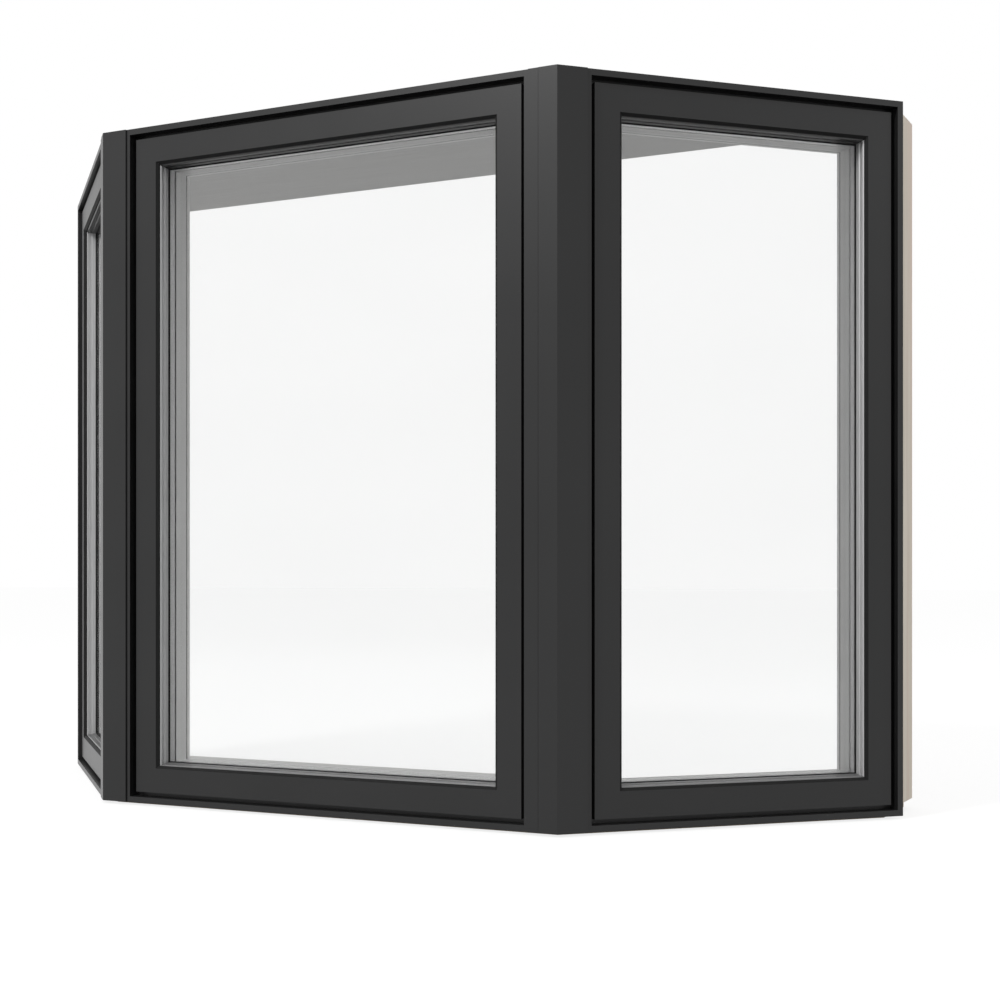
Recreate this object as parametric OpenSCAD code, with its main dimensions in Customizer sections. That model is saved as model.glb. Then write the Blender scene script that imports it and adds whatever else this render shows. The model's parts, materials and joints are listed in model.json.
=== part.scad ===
// Three-unit bay window: a centre unit and two flank units turned back to the wall,
// mulled together with corner posts between a seat board and a head board.
// The outside faces -Y, the open wall side faces +Y, and the seat board stands on Z = 0.

/* [Overall] */
// Height of each window unit
unit_height = 1366; // [900:1:2100]
// Width of the centre unit
center_width = 910; // [500:1:1800]
// Width of each flank unit
flank_width = 652; // [400:1:1200]
// Angle that the flank units turn back
bay_angle = 45; // [30:1:60]
// Depth of the side jambs behind the flank units
jamb_depth = 170; // [90:1:260]

/* [Unit frame] */
// Depth of a unit from its outer face to its room face
unit_depth = 112; // [106:1:160]
// Thickness of the wood frame members
frame_t = 31; // [24:0.5:40]
// Width of the cladding lip round the face
lip_w = 11.5; // [8:0.5:16]
// Depth of the recess between the lip and the sash
recess_d = 26; // [25.5:0.5:30]
// Thickness of the cladding flange over the frame
flange_t = 2; // [1.5:0.1:4]
// How far the frame face hangs down over the seat board's front edge
seat_overhang = 13; // [8:0.5:16]

/* [Sash] */
// Gap between the lip and the sash face
sash_gap = 9.5; // [6:0.5:12]
// Width of the sash face, with its bevel
sash_face = 54; // [50:0.5:70]
// Distance from the lip face back to the sash face
sash_setback = 8.5; // [4:0.5:9]
// Width and depth of the bevel along the sash's inner edge
bevel = 5; // [3:0.5:6]
// Wall of the sash cladding
cap_t = 2.4; // [1.5:0.1:3]
// Depth to the back of the sash cladding
cap_back = 24; // [20:0.5:24.5]
// Side clearance between the wood sash and the wood frame
sash_clear = 2; // [1:0.5:4]

/* [Glazing] */
// Distance from the lip face back to the outer pane
glass_depth = 40; // [38:0.5:42]
// Thickness of each pane
pane_t = 4; // [3:0.5:5]
// Space between the panes
pane_gap = 16; // [10:0.5:18]
// How far the daylight edge lies inside the sash's bevel
bead_step = 6; // [5:0.5:9]
// How far the glass runs in behind the daylight edge
glass_bite = 12; // [10:0.5:13]
// Clearance round the edge of the glass
glass_clear = 2; // [1:0.5:3]
// Width of the spacer bar
spacer_w = 8.5; // [6:0.5:9]
// Thickness of the glazing gasket
gasket_t = 4; // [2:0.5:5]

/* [Room side] */
// Thickness of the stops that cover the sash on the room side
stop_t = 14; // [10:0.5:20]
// Depth of the groove between the sash and the stop's nose
stop_groove = 5; // [2:0.5:8]
// How far the post trim laps each unit
trim_lap = 20; // [8:1:40]

/* [Corner posts] */
// Distance from the post's corner to each unit
mull = 54; // [50:0.5:80]
// How far each leg of the post cover laps the lip
cover_lap = 3; // [1:0.5:6]
// How far the post cover stands out from the lip face
cover_proud = 3; // [2:0.1:6]
// Distance from the post's corner to the seam in its left leg
seam_place = 36; // [20:0.5:44]
// Width of that seam
seam_w = 0.8; // [0.5:0.1:2]

/* [Boards and jambs] */
// Thickness of the seat board and the head board
board_t = 19; // [12:0.5:32]
// Distance from the lip face back to the head board's front edge
head_setback = 60; // [30:1:90]
// How far the board ends stop short of the side jambs' outer faces
board_inset = 17; // [0:0.5:25]
// Thickness of the side jambs
side_jamb_t = 32; // [25:0.5:45]
// How far the side jambs stand in from the bay's outer corners
side_jamb_inset = 20; // [10:0.5:25]

/* [Hidden] */
UNIT_PARTS = ["frame_jambs", "frame_rails", "frame_cladding", "sash_stiles", "sash_rails",
              "sash_cladding", "glazing_bead", "glazing_gasket", "glass", "spacer", "inner_stops"];

// Colours
cladding_black = [0.045, 0.045, 0.048];
painted_wood = [0.80, 0.80, 0.79];
raw_pine = [0.78, 0.68, 0.56];
plywood_tan = [0.74, 0.62, 0.46];
rubber_black = [0.02, 0.02, 0.02];
spacer_grey = [0.66, 0.66, 0.67];
glass_tint = [0.80, 0.90, 0.90, 0.35];

// Fit that is left between a board's edge and the cladding in front of it
fit = 0.3;

// Distances from a unit's outer edge, in the plane of the unit
sash_edge = lip_w + sash_gap;
sash_inner = sash_edge + sash_face;
daylight = sash_inner + bead_step;
glass_edge = daylight - glass_bite;
sash_wood_edge = frame_t + sash_clear;

// Distances from the lip face towards the room
frame_front = recess_d + flange_t;
sash_front = sash_setback + cap_t;
bevel_back = sash_setback + bevel;
gasket_front = glass_depth - gasket_t;
glass_back = glass_depth + 2*pane_t + pane_gap;
sash_back = unit_depth - stop_t;

// Heights
frame_z = board_t - seat_overhang;
head_z = frame_z + unit_height;

// Plan of the bay, with Y = 0 on the centre unit's lip face
corner_x = center_width/2 + mull;
flank_run = mull + flank_width;
end_x = corner_x + flank_run*cos(bay_angle);
end_y = flank_run*sin(bay_angle);
back_y = end_y + jamb_depth;
jamb_outer_x = end_x - side_jamb_inset;
jamb_inner_x = jamb_outer_x - side_jamb_t;
board_end_x = jamb_outer_x - board_inset;
y_shift = -(back_y - cover_proud)/2;

// Y on the flank unit's end face at a distance d in from the bay's outer corner
function end_face_y(d) = end_y + d/tan(bay_angle);

// Point p of the flank unit's plane: [distance along from the corner, depth towards the room]
function on_flank(p) = [p[0]*cos(bay_angle) - p[1]*sin(bay_angle),
                        p[0]*sin(bay_angle) + p[1]*cos(bay_angle)];

// --- Shapes that repeat -------------------------------------------------------------

// Prism along the depth, over an outline in the unit's plane
module face_prism(points, depth) {
    translate([0, depth, 0])
        rotate([90, 0, 0])
            linear_extrude(depth)
                polygon(points);
}

// Upright side of a mitred ring; the section is [distance from the edge, depth]
module ring_side(section, height) {
    reach = max([for (p = section) p[0]]);
    deep = max([for (p = section) p[1]]) + 1;
    intersection() {
        linear_extrude(height)
            polygon(section);
        face_prism([[0, 0], [0, height], [reach, height - reach], [reach, reach]], deep);
    }
}

// Level foot of a mitred ring
module ring_foot(section, width) {
    reach = max([for (p = section) p[0]]);
    deep = max([for (p = section) p[1]]) + 1;
    intersection() {
        translate([width, 0, 0])
            rotate([0, -90, 0])
                linear_extrude(width)
                    polygon(section);
        face_prism([[0, 0], [width, 0], [width - reach, reach], [reach, reach]], deep);
    }
}

// Ring of one section all the way round a unit, mitred at its corners
module mitred_ring(section, width, height) {
    ring_side(section, height);
    translate([width, 0, 0])
        mirror([1, 0, 0])
            ring_side(section, height);
    ring_foot(section, width);
    translate([0, 0, height])
        mirror([0, 0, 1])
            ring_foot(section, width);
}

// Flat ring between two distances from the unit's edge
module flat_ring(outer, inner, front, back, width, height) {
    difference() {
        translate([outer, front, outer])
            cube([width - 2*outer, back - front, height - 2*outer]);
        translate([inner, front - 1, inner])
            cube([width - 2*inner, back - front + 2, height - 2*inner]);
    }
}

// Pane of glass with its outer face at a given depth
module pane(front, width, height) {
    translate([glass_edge, front, glass_edge])
        cube([width - 2*glass_edge, pane_t, height - 2*glass_edge]);
}

// Section of the sash's wood, under its cladding and round the glazing rebate
sash_section = [
    [sash_edge + cap_t, sash_front],
    [sash_inner - bevel - cap_t/2, sash_front],
    [sash_inner - cap_t, bevel_back + cap_t/2],
    [sash_inner - cap_t, cap_back],
    [glass_edge - glass_clear, cap_back],
    [glass_edge - glass_clear, glass_back],
    [daylight, glass_back],
    [daylight, sash_back],
    [sash_wood_edge, sash_back],
    [sash_wood_edge, cap_back],
    [sash_edge + cap_t, cap_back]];

// --- Pieces of one unit -------------------------------------------------------------

module frame_jambs(width) {
    stand = seat_overhang;
    color(painted_wood)
        for (x = [0, width - frame_t])
            translate([x, frame_front, stand])
                cube([frame_t, unit_depth - frame_front, unit_height - stand]);
}

module frame_rails(width) {
    span = width - 2*frame_t;
    color(painted_wood) {
        translate([frame_t, frame_front, seat_overhang])
            cube([span, unit_depth - frame_front, frame_t - seat_overhang]);
        translate([frame_t, frame_front, unit_height - frame_t])
            cube([span, unit_depth - frame_front, frame_t]);
    }
}

module frame_cladding(width) {
    color(cladding_black) {
        flat_ring(0, lip_w, 0, frame_front, width, unit_height);
        flat_ring(0, frame_t, recess_d, frame_front, width, unit_height);
    }
}

module sash_stiles(width) {
    color(painted_wood) {
        ring_side(sash_section, unit_height);
        translate([width, 0, 0])
            mirror([1, 0, 0])
                ring_side(sash_section, unit_height);
    }
}

module sash_rails(width) {
    color(painted_wood) {
        ring_foot(sash_section, width);
        translate([0, 0, unit_height])
            mirror([0, 0, 1])
                ring_foot(sash_section, width);
    }
}

module sash_cladding(width) {
    section = [
        [sash_edge, sash_setback],
        [sash_inner - bevel, sash_setback],
        [sash_inner, bevel_back],
        [sash_inner, cap_back],
        [sash_inner - cap_t, cap_back],
        [sash_inner - cap_t, bevel_back + cap_t/2],
        [sash_inner - bevel - cap_t/2, sash_front],
        [sash_edge + cap_t, sash_front],
        [sash_edge + cap_t, cap_back],
        [sash_edge, cap_back]];
    color(cladding_black)
        mitred_ring(section, width, unit_height);
}

module glazing_bead(width) {
    nose = bevel_back + 2.5;
    section = [
        [glass_edge - glass_clear, cap_back],
        [sash_inner, cap_back],
        [sash_inner, nose],
        [sash_inner + 0.4*bead_step, nose + 2],
        [sash_inner + 0.5*bead_step, cap_back + 3],
        [sash_inner + 0.7*bead_step, cap_back + 4.4],
        [daylight - 0.7, gasket_front],
        [glass_edge - glass_clear, gasket_front]];
    color(cladding_black)
        mitred_ring(section, width, unit_height);
}

module glazing_gasket(width) {
    section = [
        [glass_edge + 1, gasket_front],
        [daylight - 0.7, gasket_front],
        [daylight + 1.3, glass_depth],
        [glass_edge + 1, glass_depth]];
    color(rubber_black)
        mitred_ring(section, width, unit_height);
}

module glass(width) {
    color(glass_tint) {
        pane(glass_depth, width, unit_height);
        pane(glass_depth + pane_t + pane_gap, width, unit_height);
    }
}

module spacer(width) {
    color(spacer_grey)
        flat_ring(glass_edge + 1, glass_edge + 1 + spacer_w, glass_depth + pane_t,
                  glass_depth + pane_t + pane_gap, width, unit_height);
}

module inner_stops(width) {
    nose = sash_back + 4;
    ease = 2;
    section = [
        [frame_t, sash_back],
        [daylight - stop_groove, sash_back],
        [daylight - stop_groove, nose],
        [daylight, nose],
        [daylight, unit_depth - ease],
        [daylight - ease, unit_depth],
        [frame_t, unit_depth]];
    color(painted_wood)
        mitred_ring(section, width, unit_height);
}

module unit_part(part, width) {
    if (part == "frame_jambs") frame_jambs(width);
    if (part == "frame_rails") frame_rails(width);
    if (part == "frame_cladding") frame_cladding(width);
    if (part == "sash_stiles") sash_stiles(width);
    if (part == "sash_rails") sash_rails(width);
    if (part == "sash_cladding") sash_cladding(width);
    if (part == "glazing_bead") glazing_bead(width);
    if (part == "glazing_gasket") glazing_gasket(width);
    if (part == "glass") glass(width);
    if (part == "spacer") spacer(width);
    if (part == "inner_stops") inner_stops(width);
}

module center_unit(part) {
    translate([-center_width/2, y_shift, frame_z])
        unit_part(part, center_width);
}

module right_unit(part) {
    translate([corner_x, y_shift, frame_z])
        rotate([0, 0, bay_angle])
            translate([mull, 0, 0])
                unit_part(part, flank_width);
}

module left_unit(part) {
    mirror([1, 0, 0])
        right_unit(part);
}

// --- Corner posts: drawn at the right corner, with the corner at the plan's origin ----

module at_right_corner() {
    translate([corner_x, y_shift, 0])
        children();
}

module at_left_corner() {
    mirror([1, 0, 0])
        at_right_corner()
            children();
}

// Wood post that fills the wedge between two units
module corner_post() {
    color(painted_wood)
        translate([0, 0, board_t])
            linear_extrude(head_z - board_t)
                polygon([[0, 0], on_flank([mull, 0]), on_flank([mull, unit_depth]),
                         [-mull, unit_depth], [-mull, 0]]);
}

// Aluminium cover over the post; its left leg has a seam and a lower flange
module corner_cover() {
    leg = mull + cover_lap;
    flange = cover_proud - seam_w;
    seam_floor = cover_proud/2 - 0.3;
    color(cladding_black)
        translate([0, 0, frame_z])
            linear_extrude(unit_height)
                polygon([
                    [-leg, 0],
                    [-leg, -flange],
                    [-seam_place - seam_w, -flange],
                    [-seam_place - seam_w, -seam_floor],
                    [-seam_place, -seam_floor],
                    [-seam_place, -cover_proud],
                    [cover_proud*tan(bay_angle/2), -cover_proud],
                    on_flank([leg, -cover_proud]),
                    on_flank([leg, 0]),
                    [0, 0]]);
}

// Trim across the room side of the post, from one unit to the other
module post_trim() {
    color(painted_wood)
        translate([0, 0, board_t])
            linear_extrude(head_z - board_t)
                polygon([[-mull, unit_depth], [-mull - trim_lap, unit_depth],
                         on_flank([mull + trim_lap, unit_depth]), on_flank([mull, unit_depth])]);
}

// --- Boards and side jambs -----------------------------------------------------------

// Board over the bay's plan, with its front edge set back from the lip faces
module bay_board(setback) {
    front_x = corner_x - setback*tan(bay_angle/2);
    side_y = setback + (board_end_x - front_x)*tan(bay_angle);
    translate([0, y_shift, 0])
        linear_extrude(board_t)
            polygon([[-front_x, setback], [front_x, setback], [board_end_x, side_y],
                     [board_end_x, back_y], [-board_end_x, back_y], [-board_end_x, side_y]]);
}

module seat_board() {
    color(plywood_tan)
        bay_board(frame_front + fit);
}

module head_board() {
    color(plywood_tan)
        translate([0, 0, head_z])
            bay_board(head_setback);
}

// Side jamb with its front edge bevelled to seat on the flank unit's end
module side_jamb() {
    color(raw_pine)
        translate([0, y_shift, board_t])
            linear_extrude(head_z - board_t)
                polygon([[jamb_outer_x, end_face_y(side_jamb_inset)],
                         [jamb_outer_x, back_y],
                         [jamb_inner_x, back_y],
                         [jamb_inner_x, end_face_y(side_jamb_inset + side_jamb_t)]]);
}

// Filler in the corner between the flank unit's end and the side jamb
module end_filler() {
    inner_x = end_x - unit_depth*sin(bay_angle);
    inner_y = end_y + unit_depth*cos(bay_angle);
    color(painted_wood)
        translate([0, y_shift, board_t])
            linear_extrude(head_z - board_t)
                polygon([[jamb_inner_x, end_face_y(side_jamb_inset + side_jamb_t)],
                         [jamb_inner_x, inner_y],
                         [inner_x, inner_y]]);
}

module mirrored() {
    mirror([1, 0, 0])
        children();
}

for (part = UNIT_PARTS) {
    center_unit(part);
    left_unit(part);
    right_unit(part);
}
at_left_corner() corner_post();  // corner_post_left
at_right_corner() corner_post();  // corner_post_right
translate([-corner_x, y_shift, 0]) rotate([0, 0, -bay_angle]) corner_cover();  // corner_cover_left
at_right_corner() corner_cover();  // corner_cover_right
at_left_corner() post_trim();  // post_trim_left
at_right_corner() post_trim();  // post_trim_right
seat_board();
head_board();
mirrored() side_jamb();  // side_jamb_left
side_jamb();  // side_jamb_right
mirrored() end_filler();  // end_filler_left
end_filler();  // end_filler_right
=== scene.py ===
"""Looks of a three-unit bay window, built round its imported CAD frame.

Lengths are metres in the frame's own axes: the outside faces -Y, the open wall side faces +Y,
and the seat board stands on Z = 0.
"""
import json
import math

import bmesh
import bpy
from mathutils import Matrix, Vector


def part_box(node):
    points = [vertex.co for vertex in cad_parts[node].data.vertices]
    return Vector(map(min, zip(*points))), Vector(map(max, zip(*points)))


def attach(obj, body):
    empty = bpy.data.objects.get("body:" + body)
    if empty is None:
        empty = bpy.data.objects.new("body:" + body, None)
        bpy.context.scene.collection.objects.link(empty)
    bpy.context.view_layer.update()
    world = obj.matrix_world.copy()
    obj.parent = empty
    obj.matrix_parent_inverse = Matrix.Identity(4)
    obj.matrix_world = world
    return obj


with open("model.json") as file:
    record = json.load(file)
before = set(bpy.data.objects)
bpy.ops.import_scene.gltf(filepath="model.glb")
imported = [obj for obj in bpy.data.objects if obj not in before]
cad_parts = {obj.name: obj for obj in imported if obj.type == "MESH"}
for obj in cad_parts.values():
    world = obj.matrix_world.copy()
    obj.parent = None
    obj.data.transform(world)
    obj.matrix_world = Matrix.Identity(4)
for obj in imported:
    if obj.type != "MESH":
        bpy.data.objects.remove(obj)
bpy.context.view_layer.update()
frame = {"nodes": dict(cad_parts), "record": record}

MM = 0.001
ROOT = "root"
UNITS = ("center", "left", "right")

# --- Small helpers for shader nodes --------------------------------------------------


class Nodes:
    """A material's node tree, with short calls for the nodes that are used here."""

    def __init__(self, name):
        self.material = bpy.data.materials.new(name)
        self.material.use_nodes = True
        self.tree = self.material.node_tree
        self.tree.nodes.clear()
        self.out = self.tree.nodes.new("ShaderNodeOutputMaterial")

    def add(self, kind, **settings):
        node = self.tree.nodes.new(kind)
        for key, value in settings.items():
            setattr(node, key, value)
        return node

    def link(self, source, target):
        self.tree.links.new(source, target)

    def shader(self, **values):
        """A Principled shader that feeds the output; values are set on its own sockets."""
        node = self.add("ShaderNodeBsdfPrincipled")
        for key, value in values.items():
            node.inputs[key.replace("_", " ")].default_value = value
        self.link(node.outputs["BSDF"], self.out.inputs["Surface"])
        return node

    def coords(self, scale=(1, 1, 1), turn=(0, 0, 0)):
        """Object coordinates, stretched and turned."""
        source = self.add("ShaderNodeTexCoord")
        mapping = self.add("ShaderNodeMapping")
        mapping.inputs["Scale"].default_value = scale
        mapping.inputs["Rotation"].default_value = turn
        self.link(source.outputs["Object"], mapping.inputs["Vector"])
        return mapping.outputs["Vector"]

    def noise(self, vector, scale, detail=4.0, roughness=0.5, distortion=0.0):
        node = self.add("ShaderNodeTexNoise")
        node.inputs["Scale"].default_value = scale
        node.inputs["Detail"].default_value = detail
        node.inputs["Roughness"].default_value = roughness
        node.inputs["Distortion"].default_value = distortion
        self.link(vector, node.inputs["Vector"])
        return node.outputs["Fac"]

    def ramp(self, factor, stops):
        """Colour ramp; stops are (place, colour)."""
        node = self.add("ShaderNodeValToRGB")
        elements = node.color_ramp.elements
        while len(elements) < len(stops):
            elements.new(0.5)
        for element, (place, colour) in zip(elements, stops):
            element.position = place
            element.color = (*colour, 1.0)
        self.link(factor, node.inputs["Fac"])
        return node.outputs["Color"]

    def spread(self, factor, low, high):
        """Value from low to high as the factor goes from 0 to 1."""
        node = self.add("ShaderNodeMapRange")
        node.inputs["To Min"].default_value = low
        node.inputs["To Max"].default_value = high
        self.link(factor, node.inputs["Value"])
        return node.outputs["Result"]

    def bump(self, height, shader, strength, distance):
        node = self.add("ShaderNodeBump")
        node.inputs["Strength"].default_value = strength
        node.inputs["Distance"].default_value = distance
        self.link(height, node.inputs["Height"])
        self.link(node.outputs["Normal"], shader.inputs["Normal"])


# --- Materials -----------------------------------------------------------------------


def powder_coat(name, dark, light, low_rough, high_rough):
    """Satin black powder coat: fine orange peel and slight cloudy changes of gloss."""
    n = Nodes(name)
    shader = n.shader(Metallic=0.0, IOR=1.42)
    vector = n.coords()
    cloud = n.noise(vector, 3.0, detail=3.0)
    grain = n.noise(vector, 900.0, detail=2.0, roughness=0.7)
    n.link(n.ramp(cloud, [(0.35, dark), (0.65, light)]), shader.inputs["Base Color"])
    n.link(n.spread(cloud, low_rough, high_rough), shader.inputs["Roughness"])
    n.bump(grain, shader, 0.12, 0.0004)
    return n.material


def satin_metal(name):
    """Satin grey anodised bead with fine drawing lines, and painted shade: faces pointing down are painted
    near black, faces pointing up darker than the sides.
    """
    n = Nodes(name)
    shader = n.shader(Metallic=0.45, IOR=1.5)
    lines = n.noise(n.coords((1.0, 1.0, 0.02)), 700.0, detail=2.0, roughness=0.6)
    tone = n.ramp(lines, [(0.3, (0.38, 0.38, 0.383)), (0.7, (0.45, 0.45, 0.453))])
    # Painted shade: the bead's colour is darkened by which way each face points, near black facing down and
    # to about a third facing up.
    facing = n.add("ShaderNodeNewGeometry")
    axes = n.add("ShaderNodeSeparateXYZ")
    n.link(facing.outputs["Normal"], axes.inputs["Vector"])
    height = n.add("ShaderNodeMapRange")
    height.inputs["From Min"].default_value = -1.0
    n.link(axes.outputs["Z"], height.inputs["Value"])
    level = n.ramp(height.outputs["Result"], [(0.15, (0.05, 0.05, 0.05)), (0.4, (1.0, 1.0, 1.0)),
                                              (0.6, (1.0, 1.0, 1.0)), (0.85, (0.35, 0.35, 0.35))])
    mix = n.add("ShaderNodeMix", data_type="RGBA", blend_type="MULTIPLY")
    mix.inputs["Factor"].default_value = 1.0
    n.link(tone, mix.inputs["A"])
    n.link(level, mix.inputs["B"])
    n.link(mix.outputs["Result"], shader.inputs["Base Color"])
    n.link(n.spread(lines, 0.34, 0.46), shader.inputs["Roughness"])
    return n.material


def painted_wood(name):
    """White paint over close-grained wood: brush marks along the pieces and a faint mottle."""
    n = Nodes(name)
    shader = n.shader(IOR=1.48)
    vector = n.coords((9.0, 9.0, 1.0))
    brush = n.noise(vector, 40.0, detail=5.0, roughness=0.6)
    mottle = n.noise(n.coords(), 6.0, detail=3.0)
    n.link(n.ramp(mottle, [(0.3, (0.755, 0.755, 0.75)), (0.7, (0.80, 0.80, 0.795))]),
           shader.inputs["Base Color"])
    n.link(n.spread(brush, 0.42, 0.56), shader.inputs["Roughness"])
    n.bump(brush, shader, 0.10, 0.0006)
    return n.material


def bare_pine(name, turn=(0, 0, 0), across=(16.0, 16.0, 0.9)):
    """Planed bare pine: long growth rings with paler early wood and a few pinkish streaks."""
    n = Nodes(name)
    shader = n.shader(IOR=1.45)
    vector = n.coords(across, turn)
    rings = n.add("ShaderNodeTexWave", wave_type="BANDS", bands_direction="X", wave_profile="SIN")
    rings.inputs["Scale"].default_value = 0.9
    rings.inputs["Distortion"].default_value = 5.0
    rings.inputs["Detail"].default_value = 3.0
    rings.inputs["Detail Scale"].default_value = 1.6
    n.link(vector, rings.inputs["Vector"])
    fibre = n.noise(n.coords((220.0, 220.0, 4.0), turn), 1.0, detail=6.0, roughness=0.65)
    streak = n.noise(n.coords((26.0, 26.0, 0.7), turn), 1.0, detail=2.0)
    pale = (0.87, 0.81, 0.70)
    late = (0.78, 0.71, 0.60)
    pink = (0.86, 0.71, 0.61)
    wood = n.ramp(rings.outputs["Fac"], [(0.25, pale), (0.80, late)])
    mix = n.add("ShaderNodeMix", data_type="RGBA")
    n.link(n.spread(streak, -0.9, 1.7), mix.inputs["Factor"])
    n.link(wood, mix.inputs["A"])
    mix.inputs["B"].default_value = (*pink, 1.0)
    grain = n.add("ShaderNodeMix", data_type="RGBA", blend_type="MULTIPLY")
    grain.inputs["Factor"].default_value = 0.35
    n.link(mix.outputs["Result"], grain.inputs["A"])
    n.link(n.ramp(fibre, [(0.3, (0.72, 0.70, 0.66)), (0.7, (1.0, 1.0, 1.0))]), grain.inputs["B"])
    n.link(grain.outputs["Result"], shader.inputs["Base Color"])
    n.link(n.spread(fibre, 0.55, 0.75), shader.inputs["Roughness"])
    n.bump(fibre, shader, 0.25, 0.0006)
    return n.material


def board_face(name):
    """Primed plywood: a pale film over the faces' long grain, and bare plies at the edges."""
    n = Nodes(name)
    shader = n.shader(IOR=1.45)
    grain = n.noise(n.coords((1.2, 26.0, 26.0)), 3.0, detail=7.0, roughness=0.6, distortion=0.6)
    fine = n.noise(n.coords((4.0, 200.0, 200.0)), 1.0, detail=4.0)
    face = n.ramp(grain, [(0.32, (0.47, 0.466, 0.458)), (0.62, (0.53, 0.528, 0.52))])
    plies = n.add("ShaderNodeTexWave", wave_type="BANDS", bands_direction="Z", wave_profile="SIN")
    plies.inputs["Scale"].default_value = 110.0
    plies.inputs["Distortion"].default_value = 0.6
    plies.inputs["Detail Scale"].default_value = 0.3
    n.link(n.coords(), plies.inputs["Vector"])
    edge = n.ramp(plies.outputs["Fac"], [(0.30, (0.34, 0.23, 0.14)), (0.55, (0.60, 0.47, 0.32))])
    facing = n.add("ShaderNodeNewGeometry")
    axes = n.add("ShaderNodeSeparateXYZ")
    n.link(facing.outputs["Normal"], axes.inputs["Vector"])
    level = n.add("ShaderNodeMath", operation="ABSOLUTE")
    n.link(axes.outputs["Z"], level.inputs[0])
    mix = n.add("ShaderNodeMix", data_type="RGBA")
    n.link(level.outputs[0], mix.inputs["Factor"])
    n.link(edge, mix.inputs["A"])
    n.link(face, mix.inputs["B"])
    n.link(mix.outputs["Result"], shader.inputs["Base Color"])
    n.link(n.spread(fine, 0.5, 0.68), shader.inputs["Roughness"])
    n.bump(fine, shader, 0.12, 0.0005)
    return n.material


def spacer_bar(name):
    """Matte grey spacer bar with fine rolling lines."""
    n = Nodes(name)
    shader = n.shader(Metallic=0.35, IOR=1.5)
    lines = n.noise(n.coords((1.0, 1.0, 1.0)), 240.0, detail=2.0)
    n.link(n.ramp(lines, [(0.3, (0.56, 0.56, 0.565)), (0.7, (0.64, 0.64, 0.645))]),
           shader.inputs["Base Color"])
    n.link(n.spread(lines, 0.38, 0.5), shader.inputs["Roughness"])
    return n.material


def rubber(name):
    """Dull black rubber; the same black also makes the strips that paint shade in grooves and gaps."""
    n = Nodes(name)
    shader = n.shader(IOR=1.22)
    grain = n.noise(n.coords(), 500.0, detail=2.0)
    n.link(n.ramp(grain, [(0.3, (0.010, 0.010, 0.010)), (0.7, (0.016, 0.016, 0.016))]),
           shader.inputs["Base Color"])
    n.link(n.spread(grain, 0.55, 0.75), shader.inputs["Roughness"])
    n.bump(grain, shader, 0.1, 0.0003)
    return n.material


def clear_glass(name):
    """Clear float glass with a very slight roller wave."""
    n = Nodes(name)
    shader = n.shader(Roughness=0.0, IOR=1.5)
    shader.inputs["Transmission Weight"].default_value = 1.0
    wave = n.noise(n.coords((1.0, 1.0, 2.5)), 2.2, detail=1.0)
    n.link(n.ramp(wave, [(0.2, (0.955, 0.957, 0.956)), (0.8, (0.965, 0.967, 0.966))]),
           shader.inputs["Base Color"])
    n.bump(wave, shader, 0.02, 0.0004)
    return n.material


black = powder_coat("black_cladding", (0.0095, 0.0095, 0.0097), (0.0125, 0.0125, 0.0128), 0.32, 0.40)
bead_black = satin_metal("black_bead")
paint = painted_wood("painted_wood")
pine = bare_pine("raw_pine")
board = board_face("board")
spacer_grey = spacer_bar("spacer")
rubber_and_shade_black = rubber("rubber")
glass = clear_glass("glass")

SLOT_MATERIALS = {
    "black_cladding": black,
    "black_bead": bead_black,
    "painted_wood": paint,
    "raw_pine": pine,
    "board": board,
    "glass": glass,
    "spacer": spacer_grey,
    "rubber": rubber_and_shade_black,
}


def dress_cad_nodes():
    """Every CAD node takes the finish of its material slot."""
    for entry in frame["record"]["subparts"]:
        mesh = frame["nodes"][entry["node"]].data
        mesh.materials.clear()
        mesh.materials.append(SLOT_MATERIALS[entry["material_slot"]])


def ease_edges():
    """Eased arrises on the wood, the boards and the black cladding."""
    reach = {"painted_wood": 0.6 * MM, "raw_pine": 0.8 * MM, "board": 0.8 * MM, "black_cladding": 0.35 * MM}
    for entry in frame["record"]["subparts"]:
        if entry["material_slot"] not in reach:
            continue
        bevel = frame["nodes"][entry["node"]].modifiers.new("eased", "BEVEL")
        bevel.width = reach[entry["material_slot"]]
        bevel.segments = 2
        bevel.limit_method = "ANGLE"
        bevel.angle_limit = math.radians(30)


dress_cad_nodes()
ease_edges()

# --- Added pieces --------------------------------------------------------------------

CORNER_X = 509 * MM
MULL = 54 * MM
FRAME_Z = 6 * MM
FACE_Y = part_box("center_frame_cladding")[0].y
UNIT_SIZE = {"center": (910 * MM, 1366 * MM), "right": (652 * MM, 1366 * MM), "left": (652 * MM, 1366 * MM)}


def unit_matrix(unit):
    """Place of a unit's own axes (X along it, Y towards the room) in the frame."""
    if unit == "center":
        return Matrix.Translation((-UNIT_SIZE[unit][0] / 2, FACE_Y, FRAME_Z))
    right = (Matrix.Translation((CORNER_X, FACE_Y, FRAME_Z))
             @ Matrix.Rotation(math.radians(45), 4, "Z")
             @ Matrix.Translation((MULL, 0, 0)))
    return right if unit == "right" else Matrix.Scale(-1, 4, (1, 0, 0)) @ right


def add_piece(name, shape, material):
    """Object from a bmesh, riding on the body and in its material slot."""
    bmesh.ops.recalc_face_normals(shape, faces=shape.faces[:])
    mesh = bpy.data.meshes.new(name)
    shape.to_mesh(mesh)
    shape.free()
    mesh.materials.append(material)
    piece = bpy.data.objects.new(name, mesh)
    bpy.context.scene.collection.objects.link(piece)
    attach(piece, ROOT)


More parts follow.
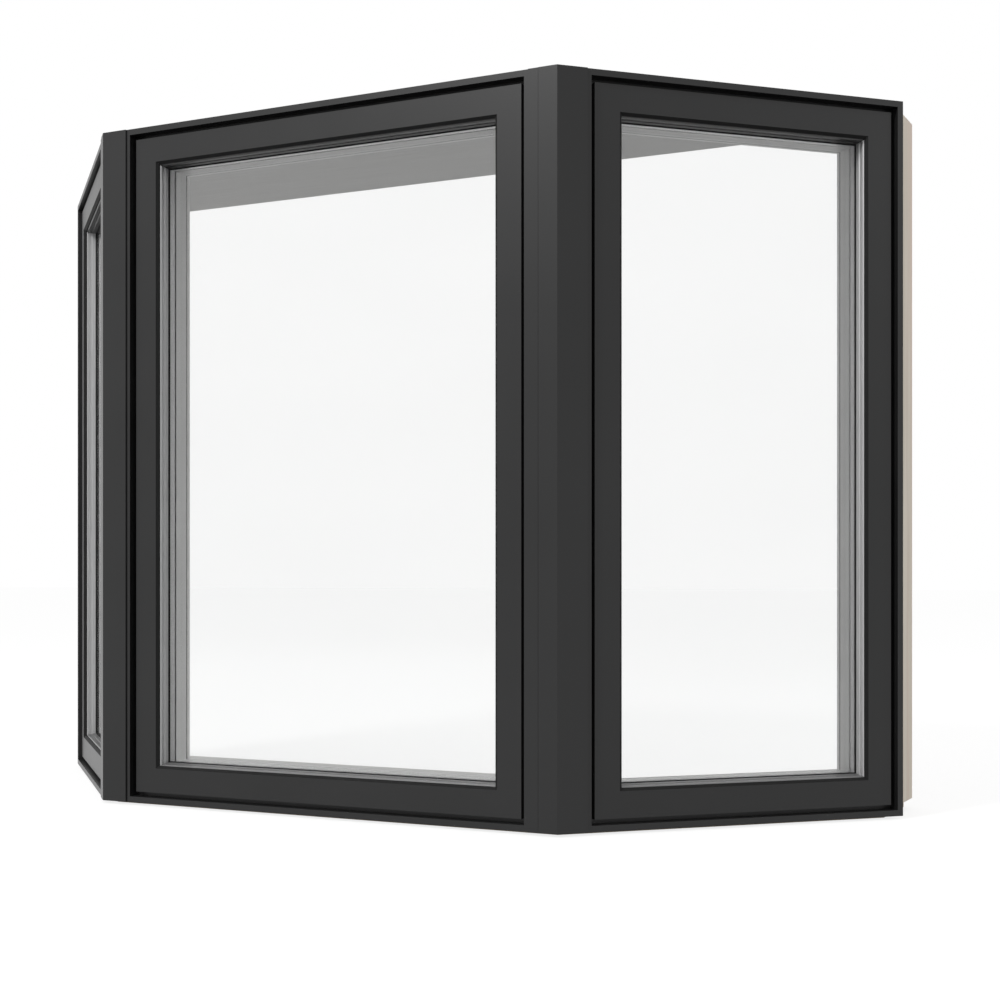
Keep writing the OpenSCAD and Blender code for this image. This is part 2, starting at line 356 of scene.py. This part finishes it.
def ring_piece(name, unit, section, material):
    """Mitred ring round a unit; section is (distance from the unit's edge, depth) in mm."""
    width, height = UNIT_SIZE[unit]
    shape = bmesh.new()
    loops = []
    for across, up in ((0, 0), (1, 0), (1, 1), (0, 1)):
        loop = []
        for edge, depth in section:
            x = width - edge * MM if across else edge * MM
            z = height - edge * MM if up else edge * MM
            loop.append(shape.verts.new((x, depth * MM, z)))
        loops.append(loop)
    count = len(section)
    for i in range(4):
        here, after = loops[i], loops[(i + 1) % 4]
        for k in range(count):
            m = (k + 1) % count
            shape.faces.new((here[k], here[m], after[m], after[k]))
    shape.transform(unit_matrix(unit))
    add_piece(name, shape, material)


def glazing_seals():
    """Grey seal between the panes, from the spacer's top up to the edge of the clear glass."""
    section = [(77.2, 44.4), (80.2, 44.4), (80.7, 45.2), (80.7, 58.8), (80.2, 59.6), (77.2, 59.6)]
    for unit in UNITS:
        ring_piece(unit + "_glazing_seal", unit, section, spacer_grey)


def stop_groove_shade_rings():
    """Dark rubber strip in the groove between each sash and its room-side stop: painted shade, a dark line
    standing for the groove's shadow.
    """
    section = [(76.2, 98.3), (80.3, 98.3), (80.7, 98.7), (80.7, 101.3), (80.3, 101.7), (76.2, 101.7)]
    for unit in UNITS:
        ring_piece(unit + "_stop_groove_shade_line", unit, section, rubber_and_shade_black)


def bevel_shade_rings():
    """Black rubber ring over the sash's bevel, between its cladding and the bead: painted shade, a dark line
    standing for the shadow gap there.
    """
    section = [(70.5, 8.65), (75.3, 13.45), (75.3, 16.2), (74.7, 16.2), (74.7, 13.75), (70.3, 9.35)]
    for unit in UNITS:
        ring_piece(unit + "_bevel_shade_line", unit, section, rubber_and_shade_black)


def seam_shade_strips():
    """Black rubber strip along the seam in the left leg of each post cover, just below the lower flange:
    painted shade, a dark line standing for the shadow in the seam.
    """
    section = [(-36.78, -1.2), (-36.78, -1.8), (-36.5, -2.05), (-36.3, -2.05), (-36.02, -1.8), (-36.02, -1.2)]
    height = UNIT_SIZE["center"][1]
    for name, side, turn in (("right", 1, 0), ("left", -1, -45)):
        shape = bmesh.new()
        foot = [shape.verts.new((x * MM, y * MM, 0)) for x, y in section]
        bottom = shape.faces.new(foot)
        grown = bmesh.ops.extrude_face_region(shape, geom=[bottom])
        top = [v for v in grown["geom"] if isinstance(v, bmesh.types.BMVert)]
        bmesh.ops.translate(shape, verts=top, vec=(0, 0, height))
        shape.transform(Matrix.Translation((side * CORNER_X, FACE_Y, FRAME_Z))
                        @ Matrix.Rotation(math.radians(turn), 4, "Z"))
        add_piece(name + "_seam_shade_line", shape, rubber_and_shade_black)


glazing_seals()
stop_groove_shade_rings()
bevel_shade_rings()
seam_shade_strips()

# --- Stage: floor, light and camera --------------------------------------------------

def white_floor():
    """Pale floor that keeps the object's shadow; it reads as plain white to the eye and in gloss."""
    mesh = bpy.data.meshes.new("floor")
    shape = bmesh.new()
    bmesh.ops.create_grid(shape, x_segments=1, y_segments=1, size=60.0)
    shape.to_mesh(mesh)
    shape.free()
    floor = bpy.data.objects.new("floor", mesh)
    bpy.context.scene.collection.objects.link(floor)

    n = Nodes("floor")
    matte = n.add("ShaderNodeBsdfDiffuse")
    matte.inputs["Color"].default_value = (0.10, 0.10, 0.10, 1.0)
    shown = n.add("ShaderNodeBsdfDiffuse")
    shown.inputs["Color"].default_value = (0.22, 0.22, 0.22, 1.0)
    glow = n.add("ShaderNodeEmission")
    glow.inputs["Strength"].default_value = 0.81
    lifted = n.add("ShaderNodeAddShader")
    n.link(shown.outputs[0], lifted.inputs[0])
    n.link(glow.outputs[0], lifted.inputs[1])
    rays = n.add("ShaderNodeLightPath")
    seen = n.add("ShaderNodeMath", operation="MAXIMUM")
    n.link(rays.outputs["Is Camera Ray"], seen.inputs[0])
    n.link(rays.outputs["Is Glossy Ray"], seen.inputs[1])
    seen_all = n.add("ShaderNodeMath", operation="MAXIMUM")
    n.link(seen.outputs[0], seen_all.inputs[0])
    n.link(rays.outputs["Is Transmission Ray"], seen_all.inputs[1])
    mix = n.add("ShaderNodeMixShader")
    n.link(seen_all.outputs[0], mix.inputs["Fac"])
    n.link(matte.outputs[0], mix.inputs[1])
    n.link(lifted.outputs[0], mix.inputs[2])
    n.link(mix.outputs[0], n.out.inputs["Surface"])
    mesh.materials.append(n.material)


def studio_world(level):
    """Even studio surround; it shows as white to the eye, in gloss and through glass."""
    world = bpy.data.worlds.new("studio")
    world.use_nodes = True
    tree = world.node_tree
    tree.nodes.clear()
    out = tree.nodes.new("ShaderNodeOutputWorld")
    light = tree.nodes.new("ShaderNodeBackground")
    light.inputs["Color"].default_value = (1.0, 1.0, 1.0, 1.0)
    light.inputs["Strength"].default_value = level
    white = tree.nodes.new("ShaderNodeBackground")
    white.inputs["Color"].default_value = (1.0, 1.0, 1.0, 1.0)
    white.inputs["Strength"].default_value = 1.0
    rays = tree.nodes.new("ShaderNodeLightPath")
    first = tree.nodes.new("ShaderNodeMath")
    first.operation = "MAXIMUM"
    tree.links.new(rays.outputs["Is Camera Ray"], first.inputs[0])
    tree.links.new(rays.outputs["Is Glossy Ray"], first.inputs[1])
    second = tree.nodes.new("ShaderNodeMath")
    second.operation = "MAXIMUM"
    tree.links.new(first.outputs[0], second.inputs[0])
    tree.links.new(rays.outputs["Is Transmission Ray"], second.inputs[1])
    mix = tree.nodes.new("ShaderNodeMixShader")
    tree.links.new(second.outputs[0], mix.inputs["Fac"])
    tree.links.new(light.outputs[0], mix.inputs[1])
    tree.links.new(white.outputs[0], mix.inputs[2])
    tree.links.new(mix.outputs[0], out.inputs["Surface"])
    bpy.context.scene.world = world


def area_light(name, place, target, size, power):
    light = bpy.data.lights.new(name, "AREA")
    light.shape = "RECTANGLE"
    light.size, light.size_y = size
    light.energy = power
    lamp = bpy.data.objects.new(name, light)
    lamp.location = place
    lamp.rotation_euler = (Vector(target) - Vector(place)).to_track_quat("-Z", "Y").to_euler()
    bpy.context.scene.collection.objects.link(lamp)
    return lamp


def set_camera():
    """Level camera, low and to the right of the bay, with a small rise of the frame."""
    data = bpy.data.cameras.new("camera")
    data.lens = 59.45
    data.sensor_width = 36.0
    data.shift_y = 0.0779
    camera = bpy.data.objects.new("camera", data)
    camera.location = (1.7191, FACE_Y - 2.6719, 0.4611)
    camera.rotation_euler = (math.radians(90), 0, math.radians(26.352))
    bpy.context.scene.collection.objects.link(camera)
    bpy.context.scene.camera = camera


white_floor()
studio_world(0.8)
area_light("key", (-1.7, -5.8, 5.3), (0.3, 0, 0.7), (1.4, 1.2), 340)
area_light("fill", (4.6, 0.9, 2.6), (0.6, 0, 0.7), (1.5, 1.5), 18)
set_camera()

scene = bpy.context.scene
scene.view_settings.view_transform = "Standard"
